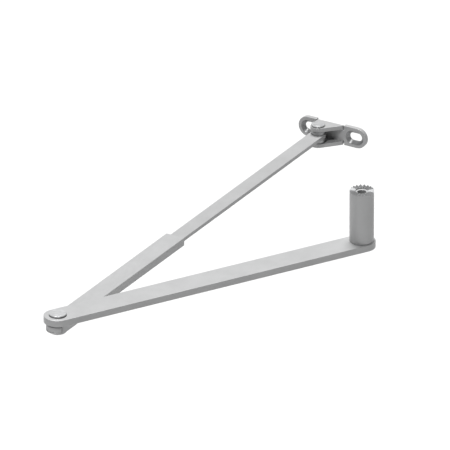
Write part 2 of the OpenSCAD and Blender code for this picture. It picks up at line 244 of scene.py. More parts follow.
def thread_profile(radius, pitch, low, high, per_turn=8):
    """Profile points for lathe along a V thread, from high to low. It runs out over its last pitches."""
    depth = THREAD_DEPTH * pitch
    count = max(2, round((high - low) / pitch * per_turn))

    def ring(height):
        def point(angle):
            phase = (height / pitch + angle / (2 * math.pi)) % 1
            groove = depth * (1 - abs(2 * phase - 1))
            ends = min(1, (height - low) / pitch, (high - height) / pitch)
            return radius - groove * max(0, ends), height
        return point
    return [ring(high - (high - low) * i / count) for i in range(count + 1)]


def add_to(bm, other, place):
    """Copies one mesh into another at a place, and frees it."""
    bmesh.ops.transform(other, matrix=place, verts=other.verts)
    mesh = bpy.data.meshes.new("part")
    other.to_mesh(mesh)
    other.free()
    bm.from_mesh(mesh)
    bpy.data.meshes.remove(mesh)


def carve(bm, tool):
    """bm with the closed mesh tool cut out of it."""
    pieces = []
    for source in (bm, tool):
        bmesh.ops.recalc_face_normals(source, faces=source.faces)
        mesh = bpy.data.meshes.new("carving")
        source.to_mesh(mesh)
        source.free()
        pieces.append(bpy.data.objects.new("carving", mesh))
        bpy.context.scene.collection.objects.link(pieces[-1])
    cut = pieces[0].modifiers.new("cut", "BOOLEAN")
    cut.operation, cut.solver, cut.object = "DIFFERENCE", "EXACT", pieces[1]
    seen = pieces[0].evaluated_get(bpy.context.evaluated_depsgraph_get())
    result = bmesh.new()
    result.from_mesh(seen.to_mesh())
    seen.to_mesh_clear()
    for piece in pieces:
        mesh = piece.data
        bpy.data.objects.remove(piece)
        bpy.data.meshes.remove(mesh)
    return result


def finish_piece(bm, name, material, body, nodes, place=Matrix.Identity(4)):
    """Makes an object of bm at its place, and dresses it."""
    bmesh.ops.transform(bm, matrix=place, verts=bm.verts)
    bmesh.ops.recalc_face_normals(bm, faces=bm.faces)
    mesh = bpy.data.meshes.new(name)
    bm.to_mesh(mesh)
    bm.free()
    piece = bpy.data.objects.new(name, mesh)
    bpy.context.scene.collection.objects.link(piece)
    return dress(piece, material, body, nodes)


def dress(piece, material, body, nodes):
    """Shades a finished piece, and has it ride on its body in place of its CAD nodes."""
    mesh = piece.data
    mesh.polygons.foreach_set("use_smooth", [True] * len(mesh.polygons))
    mesh.set_sharp_from_angle(angle=SMOOTH_BELOW)
    normals = piece.modifiers.new("even_normals", "WEIGHTED_NORMAL")
    normals.keep_sharp = True
    mesh.materials.append(material)
    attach(piece, body)
    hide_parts(*nodes)
    return piece


def at(place, z=0.0):
    """Moves a piece from the origin to a point's plan position, and up by z."""
    return Matrix.Translation((place.x, place.y, z))


# ---------------------------------------------------------------- materials

class Nodes:
    """A material's node tree, with short calls to add to it."""

    def __init__(self, name):
        self.material = bpy.data.materials.new(name)
        self.material.use_nodes = True
        self.tree = self.material.node_tree
        self.shader = self.tree.nodes["Principled BSDF"]

    def add(self, kind, **values):
        """A new node. Each value sets the input of that name, or else the property."""
        node = self.tree.nodes.new(kind)
        for key, value in values.items():
            if key in node.inputs:
                node.inputs[key].default_value = value
            else:
                setattr(node, key, value)
        return node

    def link(self, source, target):
        self.tree.links.new(source, target)

    def coordinates(self, stretch=(1, 1, 1), turn=0.0):
        """Places on the piece in millimetres, turned about Z and stretched along the axes."""
        where = self.add("ShaderNodeTexCoord")
        spun = self.add("ShaderNodeMapping", Rotation=(0, 0, turn))
        scaled = self.add("ShaderNodeMapping", Scale=tuple(s / MM for s in stretch))
        self.link(where.outputs["Object"], spun.inputs["Vector"])
        self.link(spun.outputs["Vector"], scaled.inputs["Vector"])
        return scaled.outputs["Vector"]

    def noise(self, where, scale, detail=3.0, roughness=0.55):
        """Noise with about scale features to a millimetre."""
        made = self.add("ShaderNodeTexNoise", Scale=scale, Detail=detail, Roughness=roughness)
        self.link(where, made.inputs["Vector"])
        return made.outputs["Fac"]

    def between(self, value, low, high, from_low=0.3, from_high=0.7):
        """A number between low and high, as value goes between the two from limits."""
        made = self.add("ShaderNodeMapRange")
        made.inputs["From Min"].default_value = from_low
        made.inputs["From Max"].default_value = from_high
        made.inputs["To Min"].default_value = low
        made.inputs["To Max"].default_value = high
        self.link(value, made.inputs["Value"])
        return made.outputs["Result"]

    def colours(self, value, *stops):
        """A colour ramp of (place, colour) stops."""
        made = self.add("ShaderNodeValToRGB")
        ramp = made.color_ramp
        while len(ramp.elements) < len(stops):
            ramp.elements.new(0.5)
        for element, (place, colour) in zip(ramp.elements, stops):
            element.position = place
            element.color = (*colour, 1)
        self.link(value, made.inputs["Fac"])
        return made.outputs["Color"]

    def mixed(self, factor, first, second):
        """A colour between a linked one and a fixed one. The node repeats its socket names, so they
        go by number here.
        """
        made = self.add("ShaderNodeMix", data_type="RGBA")
        self.link(factor, made.inputs[0])
        self.link(first, made.inputs[6])
        made.inputs[7].default_value = (*second, 1)
        return made.outputs[2]

    def bump(self, height, depth, strength=1.0, onto=None):
        """A normal from a height map, on top of another normal if one is given."""
        made = self.add("ShaderNodeBump", Strength=strength, Distance=depth)
        self.link(height, made.inputs["Height"])
        if onto is not None:
            self.link(onto, made.inputs["Normal"])
        return made.outputs["Normal"]


def grey(value, blue=0.0):
    """A grey, with its blue higher by that share."""
    return (value, value * (1 + blue / 2), value * (1 + blue))


def silver_paint(name, tone, turn=0.0, bare_above=None):
    """Satin silver powder coat: fine flake, faint orange peel and slow changes of tone.

    Above the height bare_above, in millimetres, the coat is cut away to bare metal.
    """
    n = Nodes(name)
    plain = n.coordinates()
    along = n.coordinates(stretch=(0.08, 1, 1), turn=turn)
    flake = n.noise(plain, 5.0, detail=2.0)
    cloud = n.noise(plain, 0.035, detail=4.0)
    drawn = n.noise(along, 1.4, detail=3.0)
    blend = n.add("ShaderNodeMath", operation="MULTIPLY_ADD")
    n.link(flake, blend.inputs[0])
    blend.inputs[1].default_value = 0.35
    n.link(cloud, blend.inputs[2])
    dark, light = grey(tone * 0.93, 0.01), grey(tone * 1.06, 0.01)
    colour = n.colours(blend.outputs["Value"], (0.35, dark), (0.95, light))
    n.shader.inputs["Metallic"].default_value = 0.25
    if bare_above is not None:
        height = n.add("ShaderNodeSeparateXYZ")
        n.link(plain, height.inputs["Vector"])
        bare = n.between(height.outputs["Z"], 0, 1, bare_above, bare_above + 0.1)
        colour = n.mixed(bare, colour, grey(0.27, 0.02))
        n.link(n.between(bare, 0.25, 0.6, 0, 1), n.shader.inputs["Metallic"])
    n.link(colour, n.shader.inputs["Base Color"])
    n.link(n.between(drawn, 0.34, 0.44), n.shader.inputs["Roughness"])
    peel = n.bump(n.noise(plain, 1.1, detail=2.0), 0.03 * MM, 0.35)
    n.link(n.bump(flake, 0.01 * MM, 0.3, onto=peel), n.shader.inputs["Normal"])
    n.shader.inputs["Specular IOR Level"].default_value = 0.4
    return n.material


def turned_metal(name, tone, centre, rough=0.34, blue=0.02, grooves=6.0):
    """Bare metal with fine turning rings about an upright axis through centre."""
    n = Nodes(name)
    where = n.add("ShaderNodeTexCoord")
    from_centre = n.add("ShaderNodeMapping", Location=(-centre.x / MM, -centre.y / MM, 0),
                        Scale=(1 / MM, 1 / MM, 1 / MM))
    n.link(where.outputs["Object"], from_centre.inputs["Vector"])
    rings = n.add("ShaderNodeTexWave", wave_type="RINGS", rings_direction="Z", Scale=grooves,
                  Distortion=0.6, Detail=2.0)
    n.link(from_centre.outputs["Vector"], rings.inputs["Vector"])
    cloud = n.noise(from_centre.outputs["Vector"], 0.25, detail=4.0)
    n.link(n.colours(cloud, (0.3, grey(tone * 0.9, blue)), (0.7, grey(tone * 1.08, blue))),
           n.shader.inputs["Base Color"])
    n.link(n.between(cloud, rough - 0.05, rough + 0.07), n.shader.inputs["Roughness"])
    n.link(n.bump(rings.outputs["Fac"], 0.01 * MM, 0.25), n.shader.inputs["Normal"])
    n.shader.inputs["Metallic"].default_value = 0.3
    return n.material


def plated_metal(name, colour, rough, metallic=0.8):
    """Plated, oxidised or sintered metal with a mottled tone."""
    n = Nodes(name)
    plain = n.coordinates()
    mottle = n.noise(plain, 0.8, detail=5.0, roughness=0.65)
    dark, light = [tuple(min(1, c * k) for c in colour) for k in (0.8, 1.15)]
    n.link(n.colours(mottle, (0.3, dark), (0.7, light)), n.shader.inputs["Base Color"])
    n.link(n.between(mottle, rough - 0.06, rough + 0.08), n.shader.inputs["Roughness"])
    n.link(n.bump(n.noise(plain, 6.0), 0.01 * MM, 0.3), n.shader.inputs["Normal"])
    n.shader.inputs["Metallic"].default_value = metallic
    return n.material


def moulded_plastic(name, colour):
    """Dark moulded plastic with a fine spark-eroded grain."""
    n = Nodes(name)
    plain = n.coordinates()
    grain = n.noise(plain, 9.0, detail=2.0)
    light = tuple(c * 1.3 for c in colour)
    n.link(n.colours(n.noise(plain, 0.2), (0.3, colour), (0.7, light)), n.shader.inputs["Base Color"])
    n.link(n.between(grain, 0.5, 0.65), n.shader.inputs["Roughness"])
    n.link(n.bump(grain, 0.02 * MM, 0.4), n.shader.inputs["Normal"])
    return n.material


ARM_PAINT = silver_paint("arm_paint", 0.31, turn=-ARM_TURN)
SPINDLE_PAINT = silver_paint("spindle_paint", 0.32, bare_above=0.0)
SLEEVE_PAINT = silver_paint("sleeve_paint", 0.306)
# lighter than the arm's paint: painted light that lifts the hinge block out of the shade at the sleeve's
# end
BLOCK_LIT_PAINT = silver_paint("block_lit_paint", 0.33)
BAR_PAINT = silver_paint("bar_paint", 0.292)
BRACKET_PAINT = silver_paint("bracket_paint", 0.295, turn=math.pi / 2)
ELBOW_STEEL = turned_metal("elbow_turned_steel", 0.36, ELBOW)
PIN_STEEL = turned_metal("pin_turned_steel", 0.32, PIN)
ZINC = plated_metal("zinc_steel", grey(0.30, 0.03), 0.40, 0.6)
# a darker steel for the sides of the bracket's slots: painted shade in the countersinks
SLOT_SHADE_STEEL = plated_metal("slot_painted_shade_steel", grey(0.20, 0.02), 0.32, 0.25)
BLACK_STEEL = plated_metal("black_steel", grey(0.03, 0.04), 0.45, 0.6)
BRONZE = plated_metal("sintered_bronze", (0.42, 0.26, 0.11), 0.45)
POLYMER = moulded_plastic("dark_polymer", (0.022, 0.023, 0.025))


# ---------------------------------------------------------------- main arm and spindle

EDGE = 0.5 * MM                 # rounding along the bars' edges
TENON = 11 * MM                 # radius of the spindle's foot inside the arm
ELBOW_SHANK = 6 * MM            # radius of the elbow pin
PIN_SHANK = 4 * MM              # radius of the bracket pin


def make_main_arm():
    """A flat bar with round ends, four times as wide as it is thick."""
    bm = bmesh.new()
    radius = (ARM_HIGH - ARM_LOW) * 2
    side = soft_edge(ARM_LOW, ARM_HIGH, EDGE)
    hole_side = soft_edge(ARM_LOW, ARM_HIGH, 0.3 * MM, steps=2)
    pin_hole = circle(ARM_LENGTH, 0, ELBOW_SHANK, SMALL_ROUND)
    holes = [(circle(0, 0, TENON), hole_side), (pin_hole, hole_side)]
    slab(bm, stadium(0, ARM_LENGTH, radius), side, holes)
    finish_piece(bm, "main_arm_bar", ARM_PAINT, "main_arm", ["main_arm"],
                 Matrix.Rotation(ARM_TURN, 4, "Z"))


def make_spindle():
    """A turned post with a crown of V teeth, a pilot recess, and a bore with a snap ring's groove.

    land is the flat top of a tooth at the rim, and slope the rise of its flanks.
    """
    bm = bmesh.new()
    teeth, steps_per_tooth = 20, 12
    low, tip = span("spindle", 2)
    outer, pilot, screw_hole, access = 14 * MM, 7.5 * MM, 5.1 * MM, 7.3 * MM
    pitch, land = 2 * math.pi / teeth, 0.35 * MM
    slope = tip / (math.pi * outer / teeth - land / 2)
    ring_low, ring_high = span("drive_screw_ring", 2)
    groove, play = access + 0.6 * MM, 0.05 * MM
    floor, shoulder = -0.6 * MM, -15.95 * MM

    def tooth(radius):
        """A profile point on the crown: V grooves down to height 0 between flat tips."""
        def point(angle):
            from_groove = abs(angle % pitch - pitch / 2)
            return radius, min(tip, slope * radius * math.sin(from_groove))
        return point

    profile = [(access, low + 0.3 * MM), (access + 0.3 * MM, low), (TENON - 0.4 * MM, low),
               (TENON, low + 0.4 * MM), (TENON, ARM_HIGH), (outer - 0.3 * MM, ARM_HIGH),
               (outer, ARM_HIGH + 0.3 * MM), (outer, -1.5 * MM)]
    profile += [tooth(radius) for radius in (outer, 12.4 * MM, 10.8 * MM, 9.1 * MM, pilot)]
    profile += soften([(pilot, -0.1 * MM, 0), (pilot, floor, 0.15 * MM), (screw_hole, floor, 0.3 * MM),
                       (screw_hole, shoulder, 0), (access, shoulder, 0)], closed=False)
    profile += [(access, ring_high + play), (groove, ring_high + play),
                (groove, ring_low - play), (access, ring_low - play)]
    lathe(bm, profile, count=teeth * steps_per_tooth)
    finish_piece(bm, "spindle_post", SPINDLE_PAINT, "main_arm", ["spindle"])


def make_drive_screw():
    """M8 cap screw, head down: knurled head, hexagon socket, rolled thread and a pointed tip."""
    bm = bmesh.new()
    low, tip = span("drive_screw", 2)
    head, neck = 6.5 * MM, low + 8 * MM
    shank, pitch, knurls = 4 * MM, 1.25 * MM, 24

    def knurled(radius, height):
        def point(angle):
            return radius - 0.18 * MM * abs(math.sin(angle * knurls / 2)), height
        return point

    core = shank - THREAD_DEPTH * pitch
    profile = [(0, tip), (core * 0.75, tip), (core, tip - 0.5 * MM)]
    profile += thread_profile(shank, pitch, tip - 24 * MM, tip - 0.5 * MM)[1:]
    profile += [(shank, neck + 0.4 * MM), (shank + 0.3 * MM, neck), (head - 0.4 * MM, neck),
                (head, neck - 0.3 * MM), knurled(head, neck - 0.8 * MM), knurled(head, low + 1.2 * MM),
                (head, low + 0.8 * MM), (head - 0.6 * MM, low), hexagon(6.5 * MM, low),
                hexagon(6 * MM, low + 0.3 * MM), hexagon(6 * MM, low + 4 * MM), (0, low + 5 * MM)]
    lathe(bm, profile, count=ROUND, closed=False)
    finish_piece(bm, "drive_screw_m8", BLACK_STEEL, "drive_screw", ["drive_screw"])


def open_ring(bm, outer, bore, low, high, gap, eyes=()):
    """A flat ring about Z, open towards -X.

    bore(turn) is its inner radius at an angle in degrees. eyes are round holes, each given by its
    distance from the axis, its angle and its own radius.
    """
    steps = 90
    outside = 180 - math.degrees(math.asin(gap / 2 / outer))
    inside = 180 - math.degrees(math.asin(gap / 2 / bore(180)))
    outline = arc(0, 0, outer, -outside, outside, steps)
    for k in range(steps + 1):
        turn = inside - 2 * inside * k / steps
        outline.append(polar(bore(turn), turn))
    side = soft_edge(low, high, 0.1 * MM, steps=2)
    slab(bm, outline, side, [(circle(*polar(out, turn), own, 16), side) for out, turn, own in eyes])


def lobed(inner, relief):
    """A bore that grips at three lobes, one of them opposite the ring's opening."""
    return lambda turn: inner + relief * (1 - math.cos(math.radians(3 * turn))) / 2


def make_drive_screw_ring():
    """A snap ring with two ears, each with an eye, at its opening."""
    bm = bmesh.new()
    low, high = span("drive_screw_ring", 2)
    outer, width, ear_width = 7.8 * MM, 1.5 * MM, 1.1 * MM

    def eared(turn):
        ear = min(1, max(0, (abs(turn) - 132) / 10))
        return outer - width - ear_width * ear * ear * (3 - 2 * ear)

    eyes = [(6.4 * MM, turn, 0.6 * MM) for turn in (-150, 150)]
    open_ring(bm, outer, eared, low, high, 4 * MM, eyes)
    finish_piece(bm, "drive_screw_snap_ring", BLACK_STEEL, "main_arm", ["drive_screw_ring"])


# ---------------------------------------------------------------- elbow

def headed_pin(node, clip, seat, shank, rim, inset):
    """A pin with a bevelled head that stands on seat, and a groove for its snap ring.

    The head is narrower by inset up to rim above the seat.
    """
    bm = bmesh.new()
    low, high = span(node, 2)
    clip_low, clip_high = span(clip, 2)
    head, bevel, groove = radius_of(node), 0.6 * MM, 0.5 * MM
    lathe(bm, soften([
        (0, high, 0), (head - bevel, high, 0.2 * MM), (head, high - bevel, 0.2 * MM),
        (head, seat + rim, 0.1 * MM), (head - inset, seat + rim, 0), (head - inset, seat, 0),
        (shank, seat, 0), (shank, clip_high, 0), (shank - groove, clip_high, 0),
        (shank - groove, clip_low, 0), (shank, clip_low, 0), (shank, low, 0.3 * MM), (0, low, 0)],
        closed=False), closed=False)
    return bm


def make_elbow_pin():
    """The pin through the arm and the forearm, with its head on top of the arm."""
    bm = headed_pin("elbow_pin", "elbow_circlip", ARM_HIGH, ELBOW_SHANK, rim=1.5 * MM, inset=1.0 * MM)
    finish_piece(bm, "elbow_pin_turned", ELBOW_STEEL, "main_arm", ["elbow_pin"],
                 at(ELBOW))


def make_elbow_disc():
    """The disc under the elbow, with a recess below for its snap ring."""
    bm = bmesh.new()
    low, high = span("elbow_disc", 2)
    outer, bore, recess = radius_of("elbow_disc"), ELBOW_SHANK + 0.05 * MM, 8.8 * MM
    floor, bevel, soft = low + 1.4 * MM, MM, 0.1 * MM
    lathe(bm, soften([
        (outer, high, 0.15 * MM), (outer, low + bevel, 0.25 * MM), (outer - bevel, low, 0.2 * MM),
        (recess, low, soft), (recess, floor, soft), (bore, floor, soft), (bore, high, soft)]))
    finish_piece(bm, "elbow_disc_turned", ELBOW_STEEL, "main_arm", ["elbow_disc"],
                 at(ELBOW))


def make_elbow_circlip():
    """The snap ring in the elbow pin's groove."""
    bm = bmesh.new()
    low, high = span("elbow_circlip", 2)
    open_ring(bm, 8.2 * MM, lobed(5.52 * MM, 0.9 * MM), low, high, 8 * MM)
    finish_piece(bm, "elbow_snap_ring", BLACK_STEEL, "main_arm", ["elbow_circlip"],
                 at(ELBOW))


def make_hinge_block():
    """The block in the sleeve's elbow end, with a round nose about the elbow."""
    bm = bmesh.new()
    low, high = span("hinge_block", 2)
    left, right = span("hinge_block", 1)
    half = (right - left) / 2
    first, last = span("hinge_block", 0)
    nose, end = ELBOW.x - first, last - ELBOW.x
    turn = math.degrees(math.asin(half / nose))
    outline = [(end, -half), (end, half)] + arc(0, 0, nose, 180 - turn, 180 + turn, 24)
    side = soft_edge(low, high, 0.5 * MM)
    slab(bm, outline, side, [(circle(0, 0, 7.5 * MM, SMALL_ROUND), soft_edge(low, high, 0.2 * MM, 2))])
    # its paint is lightened: painted light against the shade the block sits in
    finish_piece(bm, "hinge_block_milled", BLOCK_LIT_PAINT, "forearm", ["hinge_block"],
                 at(ELBOW))


# ---------------------------------------------------------------- forearm

BLOCK_SCREWS = (17 * MM, 31 * MM)      # from the elbow along the forearm
CLAMP_SCREWS = (230 * MM, 242 * MM)


def sleeve_holes(under, top):
    """The round tools for the holes at the elbow and for the screws, between the tube's two faces."""
    past = MM
    disc_hole, washer_hole, clamp_hole = 7.5 * MM, 9.85 * MM, 3 * MM
    screw_head, screw_shank, screw_sink = 3.8 * MM, 1.9 * MM, 1.9 * MM
    # place along the forearm, radius at the lower and at the upper end, height of the two ends
    holes = [(0, disc_hole, disc_hole, under - past, 0), (0, washer_hole, washer_hole, past, top + past)]
    holes += [(x, screw_head, screw_shank, under, under + screw_sink) for x in BLOCK_SCREWS]
    holes += [(x, clamp_hole, clamp_hole, under - past, under + 2 * MM) for x in CLAMP_SCREWS]
    tool = bmesh.new()
    for x, low_radius, high_radius, low, high in holes:
        made = bmesh.ops.create_cone(tool, cap_ends=True, segments=SMALL_ROUND, radius1=low_radius,
                                     radius2=high_radius, depth=high - low)
        bmesh.ops.translate(tool, vec=(x, 0, (low + high) / 2), verts=made["verts"])
    return tool


def make_sleeve():
    """A drawn rectangular tube, cut square at its mouth and round about the elbow."""
    first, last = span("forearm_sleeve", 0)
    left, right = span("forearm_sleeve", 1)
    wide, high = right - left, SLEEVE_HIGH - SLEEVE_LOW
    wall, corner, chamfer = 1.5 * MM, 0.9 * MM, 0.2 * MM
    end_radius, mouth = ELBOW.x - first, last - ELBOW.x
    middle = (SLEEVE_LOW + SLEEVE_HIGH) / 2
    outer = rounded_box(wide, high, corner, parts=24)
    inner = rounded_box(wide - 2 * wall, high - 2 * wall, 0.4 * MM, parts=24)

    def at_elbow(points, inset, back):
        """A ring of the tube at its round end, back from it by that much."""
        moved = shift_outline(points, inset)
        return [(back - math.sqrt(end_radius ** 2 - y ** 2), y, z) for y, z in moved]

    def at_mouth(points, inset, back):
        """A ring of the tube at its square end, back from it by that much."""
        return [(mouth - back, y, z) for y, z in shift_outline(points, inset)]

    bm = bmesh.new()
    skin(bm, [at_elbow(outer, 0, chamfer), at_mouth(outer, 0, chamfer), at_mouth(outer, chamfer, 0),
              at_mouth(inner, -chamfer, 0), at_mouth(inner, 0, chamfer), at_elbow(inner, 0, chamfer),
              at_elbow(inner, -chamfer, 0), at_elbow(outer, chamfer, 0)], closed=True)
    finish_piece(carve(bm, sleeve_holes(-high / 2, high / 2)), "forearm_tube", SLEEVE_PAINT, "forearm",
                 ["forearm_sleeve"], at(ELBOW, middle))


def make_block_screws():
    """Countersunk screws, heads down, with hexagon sockets."""
    bm = bmesh.new()
    head, shank, deep, tip = 3.7 * MM, 2 * MM, 6 * MM, 0.4 * MM
    for x in BLOCK_SCREWS:
        one = bmesh.new()
        lathe(one, [(0, deep), (shank - tip, deep), (shank, deep - tip), (shank, 1.75 * MM),
                    (head, 0.15 * MM), (head - 0.1 * MM, 0.05 * MM), hexagon(2.9 * MM, 0.05 * MM),
                    hexagon(2.5 * MM, 0.25 * MM), hexagon(2.5 * MM, 2 * MM), (0, 2.4 * MM)],
              count=SMALL_ROUND, closed=False)
        add_to(bm, one, at(ELBOW + Vector((x, 0, 0)), SLEEVE_LOW))
    finish_piece(bm, "hinge_block_countersunk_screws", BLACK_STEEL, "forearm", ["hinge_block_screws"])


def make_guide_bush():
    """The liner in the sleeve's mouth, a rounded window around the bar."""
    first, last = span("guide_bush", 0)
    left, right = span("guide_bush", 1)
    low, high = span("guide_bush", 2)
    bar_low, bar_high = span("forearm_bar", 2)
    gap = 0.15 * MM
    bm = bmesh.new()
    outer = rounded_box(high - low, right - left, 0.35 * MM)
    bar_right, bar_left = span("forearm_bar", 1)
    window = rounded_box(bar_high - bar_low + 2 * gap, bar_left - bar_right + 2 * gap, 0.5 * MM)
    slab(bm, outer, soft_edge(first, last, 0.2 * MM, 2), [(window, soft_edge(first, last, 0.5 * MM))])
    place = Matrix.Translation((0, PIN.y, (low + high) / 2)) @ Matrix.Rotation(math.pi / 2, 4, "Y")
    finish_piece(bm, "guide_liner", POLYMER, "forearm", ["guide_bush"], place)


def make_clamp_nuts():
    """Round weld nuts under the sleeve, each with a bead of weld at its root."""
    bm = bmesh.new()
    low, high = span("clamp_nuts", 2)
    outer, bore, bead, ripples = 5 * MM, 3.05 * MM, 0.6 * MM, 22
    lead_in = 0.3 * MM

    def bead_point(turn):
        """A profile point on the rippled bead, at an angle around its own section."""
        def point(angle):
            ripple = 1 + 0.12 * math.sin(angle * ripples)
            return (outer + bead * 0.25 + bead * ripple * math.cos(turn) * 0.8,
                    high - bead * 0.75 + bead * ripple * math.sin(turn) * 0.7)
        return point

    for x in CLAMP_SCREWS:
        nut, weld = bmesh.new(), bmesh.new()
        lathe(nut, soften([(outer, high, 0), (outer, low, 0.5 * MM), (bore + lead_in, low, 0.1 * MM),
                           (bore, low + lead_in, 0), (bore, high, 0)]), count=SMALL_ROUND)
        lathe(weld, [bead_point(2 * math.pi * k / 8) for k in range(8)], count=4 * ripples)
        for made in (nut, weld):
            add_to(bm, made, at(ELBOW + Vector((x, 0, 0))))
    finish_piece(bm, "clamp_weld_nuts", ZINC, "forearm", ["clamp_nuts"])


def make_clamp_screws():
    """Threaded set screws with hexagon sockets, standing in the weld nuts."""
    bm = bmesh.new()
    low, high = span("clamp_screws", 2)
    outer, pitch = 3 * MM, MM
    for x in CLAMP_SCREWS:
        one = bmesh.new()
        profile = [(0, high), (outer - 0.9 * MM, high)]
        profile += thread_profile(outer, pitch, low, high - 0.4 * MM)[1:-1]
        profile += [(outer - 0.6 * MM, low), hexagon(3.3 * MM, low), hexagon(3 * MM, low + 0.2 * MM),
                    hexagon(3 * MM, low + 3 * MM), (0, low + 3.6 * MM)]
        lathe(one, profile, count=SMALL_ROUND, closed=False)
        add_to(bm, one, at(ELBOW + Vector((x, 0, 0))))
    finish_piece(bm, "clamp_set_screws", BLACK_STEEL, "forearm", ["clamp_screws"])


def make_bar():
    """The flat bar, with a round eye about the bracket pin."""
    bm = bmesh.new()
    low, high = span("forearm_bar", 2)
    left, right = span("forearm_bar", 1)
    first = span("forearm_bar", 0)[0] - PIN.x
    half = (right - left) / 2
    outline = [(first, half), (first, -half)] + arc(0, 0, half, -90, 90, ROUND // 2)
    slab(bm, outline, soft_edge(low, high, 0.45 * MM),
         [(circle(0, 0, 5.25 * MM, SMALL_ROUND), soft_edge(low, high, 0.2 * MM, 2))])
    finish_piece(bm, "forearm_flat_bar", BAR_PAINT, "bar", ["forearm_bar"], at(PIN))


# ---------------------------------------------------------------- bracket

SHEET = 5 * MM
INNER_BEND = 0.5 * MM           # inner radius of the bends
NOSE = 9 * MM                   # the lugs' round nose, and their width on the pin's left
LUG_RIGHT = 24.5 * MM           # the lugs' width on the pin's right, at the web
RELIEF, RELIEF_DEPTH = 0.8 * MM, 6 * MM     # radius and depth of the notches beside the lugs
SLOT_PITCH = 59 * MM
SLOT_REACH, SLOT_HALF = 3.2 * MM, 4.8 * MM  # from a slot's middle to its arc centres, half its width
SINK, SINK_DEPTH = 3.6 * MM, 3.4 * MM       # the countersink around a slot

BRACKET_LOW, BRACKET_HIGH = span("bracket", 2)
HALF = (BRACKET_HIGH - BRACKET_LOW) / 2
WEB = span("bracket", 0)[1] - SHEET - PIN.x             # from the pin to the web's front
EARS_LEFT, EARS_RIGHT = (y - PIN.y for y in reversed(span("bracket", 1)))
EARS_MIDDLE = (EARS_LEFT + EARS_RIGHT) / 2
BEND_START = HALF - SHEET - INNER_BEND                  # up the sheet, where a bend starts
BEND_MIDDLE = INNER_BEND + SHEET / 2
BEND_LENGTH = BEND_MIDDLE * math.pi / 2
BEND_END = BEND_START + BEND_LENGTH
PIN_HEIGHT = BEND_END + WEB - INNER_BEND                # up the sheet, where a lug's pin hole is


def bracket_outline():
    """The blank in the flat: two ears with round ends, and a lug above and below, between notches."""
    reach = (EARS_LEFT - EARS_RIGHT) / 2 - HALF
    notch = HALF - RELIEF_DEPTH + RELIEF
    bend_to_pin = PIN_HEIGHT - BEND_END
    far = math.hypot(LUG_RIGHT, bend_to_pin)
    touch = 180 - math.degrees(math.acos(NOSE / far) - math.atan2(bend_to_pin, LUG_RIGHT))
    upper = arc(EARS_MIDDLE + reach, 0, HALF, 0, 90, 24)
    upper += [(NOSE + 2 * RELIEF, HALF)]
    upper += arc(NOSE + RELIEF, notch, RELIEF, 0, -180, 8)
    upper += [(NOSE, BEND_END)]
    upper += arc(0, PIN_HEIGHT, NOSE, 0, touch, 32)
    upper += [(-LUG_RIGHT, BEND_END)]
    upper += arc(-LUG_RIGHT - RELIEF, notch, RELIEF, 0, -180, 8)
    upper += [(-LUG_RIGHT - 2 * RELIEF, HALF)]
    upper += arc(EARS_MIDDLE - reach, 0, HALF, 90, 180, 24)
    return upper + [(x, -y) for x, y in reversed(upper[1:-1])]


def slot_tools():
    """What is cut out of the blank for its two countersunk slots, with soft edges."""
    past, soft = MM, 0.1 * MM
    side = [(-soft - past, SHEET + past), (0, SHEET - soft), (0, SINK_DEPTH + soft),
            (-soft, SINK_DEPTH - soft), (-SINK, soft), (-SINK - 2 * soft, 0),
            (-SINK - 2 * soft - 2 * past, -past)]
    tools = bmesh.new()
    for middle in (EARS_MIDDLE - SLOT_PITCH / 2, EARS_MIDDLE + SLOT_PITCH / 2):
        slab(tools, stadium(middle - SLOT_REACH, middle + SLOT_REACH, SLOT_HALF, 24), side)
    return tools


def fold(bm):
    """Folds both lugs of the blank forwards, in the frame's axes about the pin."""
    cuts, slack = 10, MM / 100
    for side in (-1, 1):
        for k in range(cuts + 1):
            y = side * (BEND_START + BEND_LENGTH * k / cuts)
            bmesh.ops.bisect_plane(bm, geom=bm.verts[:] + bm.edges[:] + bm.faces[:], dist=MM / 10000,
                                   plane_co=(0, y, 0), plane_no=(0, 1, 0))
    for v in bm.verts:
        across, up, deep = v.co
        side = 1 if up > 0 else -1
        on_lug = -LUG_RIGHT - slack < across < NOSE + slack
        folded = max(0, abs(up) - BEND_START) * on_lug
        turn = min(folded, BEND_LENGTH) / BEND_MIDDLE
        ray = INNER_BEND + deep
        x = WEB - INNER_BEND + ray * math.cos(turn) if folded else WEB + deep
        z = side * (BEND_START + ray * math.sin(turn)) if folded else up
        v.co = (x - max(0, folded - BEND_LENGTH), across, z)


def paint_slot_shade(bm):
    """Gives the faces inside the slots the second material: a darker steel, painted shade for the
    countersinks.
    """
    bm.normal_update()
    flat = 0.95
    for face in bm.faces:
        middle = face.calc_center_median()
        along = max(0, abs(abs(middle.y - EARS_MIDDLE) - SLOT_PITCH / 2) - SLOT_REACH)
        near_slot = math.hypot(along, middle.z) < SLOT_HALF + SINK
        if near_slot and abs(face.normal.x) < flat:
            face.material_index = 1


def make_bracket():
    """The bracket as a blank with rounded edges, cut out flat and then folded.

    In the flat, x runs across the bracket, y up the sheet and z from its front to its back. The
    sides of the slots get a darker steel: painted shade in their countersinks.
    """
    bm = bmesh.new()
    pin_side = soft_edge(0, SHEET, 0.2 * MM, 2)
    holes = [(circle(0, y, PIN_SHANK + 0.02 * MM, 32), pin_side) for y in (PIN_HEIGHT, -PIN_HEIGHT)]
    slab(bm, bracket_outline(), soft_edge(0, SHEET, 0.45 * MM), holes)
    bm = carve(bm, slot_tools())
    fold(bm)
    paint_slot_shade(bm)
    piece = finish_piece(bm, "folded_bracket", BRACKET_PAINT, "bracket", ["bracket"],
                         at(PIN, (BRACKET_LOW + BRACKET_HIGH) / 2))
    # the second material darkens the slots' sides: painted shade in the countersinks
    piece.data.materials.append(SLOT_SHADE_STEEL)


